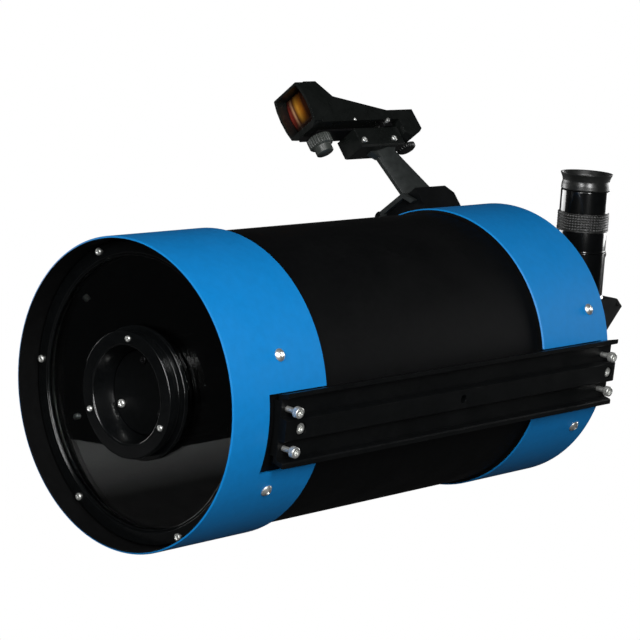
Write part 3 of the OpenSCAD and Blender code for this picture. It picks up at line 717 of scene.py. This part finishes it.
def dress(node):
    obj = NODES[node]
    slot = SLOT_OF[node]
    mesh = obj.data
    if "custom_normal" in mesh.attributes:
        mesh.attributes.remove(mesh.attributes["custom_normal"])
    mesh.shade_smooth()
    mesh.materials.clear()
    mesh.materials.append(MATERIALS[FINISH_OF.get(node, slot)])
    if node in BLACK_INSIDE:
        mesh.materials.append(MATERIALS["matt_black"])
        reach = [math.hypot(v.co.x - AXIS_X, v.co.z) / MM for v in mesh.vertices]
        for face in mesh.polygons:
            face.material_index = int(max(reach[k] for k in face.vertices) < BLACK_INSIDE[node])
    obj.modifiers.new("weld", "WELD").merge_threshold = 0.000002
    flat = obj.modifiers.new("flat", "DECIMATE")
    flat.decimate_type = "DISSOLVE"
    flat.angle_limit = math.radians(0.4)
    bevel = obj.modifiers.new("edges", "BEVEL")
    bevel.width = BEVELS.get(node, PLAIN_BEVEL) * MM
    bevel.segments = 3
    bevel.limit_method = "ANGLE"
    bevel.angle_limit = math.radians(35)
    keep_flats(obj)


for node, obj in NODES.items():
    if not obj.hide_render:
        dress(node)


# ---- stage ----


def camera():
    """Camera at the photograph's view"""
    data = bpy.data.cameras.new("camera")
    data.lens = 126.03
    data.sensor_width = 36
    data.clip_start = 0.05
    data.clip_end = 50
    obj = bpy.data.objects.new("camera", data)
    right = Vector((0.7259014, 0.6804866, 0.1000254))
    up = Vector((-0.2192787, 0.0911264, 0.9713974))
    back = right.cross(up)
    obj.matrix_world = Matrix((
        (right.x, up.x, back.x, 0.811385),
        (right.y, up.y, back.y, -1.041969),
        (right.z, up.z, back.z, 0.330334),
        (0, 0, 0, 1),
    ))
    bpy.context.scene.collection.objects.link(obj)
    bpy.context.scene.camera = obj


CENTRE = Vector((AXIS_X, 0, 0))


def softbox(name, azimuth, elevation, distance, width, height, power):
    """Area light that looks at the tube; azimuth 0 is in front and 90 on the rail's side"""
    data = bpy.data.lights.new(name, "AREA")
    data.shape = "RECTANGLE"
    data.size = width
    data.size_y = height
    data.energy = power
    obj = bpy.data.objects.new(name, data)
    a, e = math.radians(azimuth), math.radians(elevation)
    away = Vector((math.sin(a) * math.cos(e), -math.cos(a) * math.cos(e), math.sin(e)))
    obj.location = CENTRE + away * distance
    obj.rotation_mode = "QUATERNION"
    obj.rotation_quaternion = away.to_track_quat("Z", "Y")
    bpy.context.scene.collection.objects.link(obj)


def white_to_camera(tree, seen, lit, output):
    """Joins two shaders so that the camera sees the first and light meets the second"""
    path = tree.nodes.new("ShaderNodeLightPath")
    mix = tree.nodes.new("ShaderNodeMixShader")
    tree.links.new(path.outputs["Is Camera Ray"], mix.inputs["Fac"])
    tree.links.new(lit, mix.inputs[1])
    tree.links.new(seen, mix.inputs[2])
    tree.links.new(mix.outputs["Shader"], output)


def studio():
    world = bpy.data.worlds.new("studio")
    bpy.context.scene.world = world
    world.use_nodes = True
    tree = world.node_tree
    seen = tree.nodes.new("ShaderNodeBackground")
    seen.inputs["Color"].default_value = (1, 1, 1, 1)
    lit = tree.nodes["Background"]
    lit.inputs["Color"].default_value = (0.9, 0.95, 1, 1)
    lit.inputs["Strength"].default_value = 0.012
    white_to_camera(tree, seen.outputs[0], lit.outputs[0], tree.nodes["World Output"].inputs["Surface"])


FLOOR_Z = -0.34
FLOOR_EDGE = 3


def floor():
    """Pale floor under the tube; it ends on the left where the corrector stops mirroring it. Light meets
    it with a painted pool of light at its left end, which the corrector mirrors, fading to near black
    towards the tube as a painted shadow of the tube
    """
    corners = [(FLOOR_EDGE, -FLOOR_EDGE), (FLOOR_EDGE, FLOOR_EDGE), (-0.93, FLOOR_EDGE)]
    corners += [(-0.93, -0.86), (-0.848, -0.905), (-0.848, -FLOOR_EDGE)]
    mesh = bpy.data.meshes.new("floor")
    mesh.from_pydata([(x, y, FLOOR_Z) for x, y in corners], [], [range(len(corners))])
    obj = bpy.data.objects.new("floor", mesh)
    bpy.context.scene.collection.objects.link(obj)
    finish = Finish("pale_floor", (0.4, 0.4, 0.4), 0.8, specular=0.1)
    split = finish.nodes.new("ShaderNodeSeparateXYZ")
    finish.links.new(finish.coordinates.outputs["Object"], split.inputs["Vector"])
    # Painted light and shade in the floor's colour: bright at its left end where the corrector mirrors
    # it, nearly black towards the tube as a painted shadow of the tube
    painted_light_and_tube_shadow = finish.ramp(split.outputs["X"], 0.5, 0.045, -0.865, -0.745)
    finish.links.new(painted_light_and_tube_shadow, finish.shader.inputs["Base Color"])
    tree = finish.material.node_tree
    glow = tree.nodes.new("ShaderNodeEmission")
    surface = tree.nodes["Material Output"].inputs["Surface"]
    white_to_camera(tree, glow.outputs[0], finish.shader.outputs[0], surface)
    mesh.materials.append(finish.material)


camera()
studio()
floor()
softbox("left_strip", 16, 24, 1.7, 0.3, 0.9, 14)
softbox("right_strip", 62, 24, 1.7, 0.3, 0.9, 20)
softbox("front_fill", 45, 45, 2.2, 1.4, 0.8, 9)
softbox("behind", 180, 5, 1.8, 1.2, 0.6, 11)
softbox("left_side", 272, 0, 2, 1.2, 0.6, 12)
bpy.context.scene.view_settings.view_transform = "Standard"
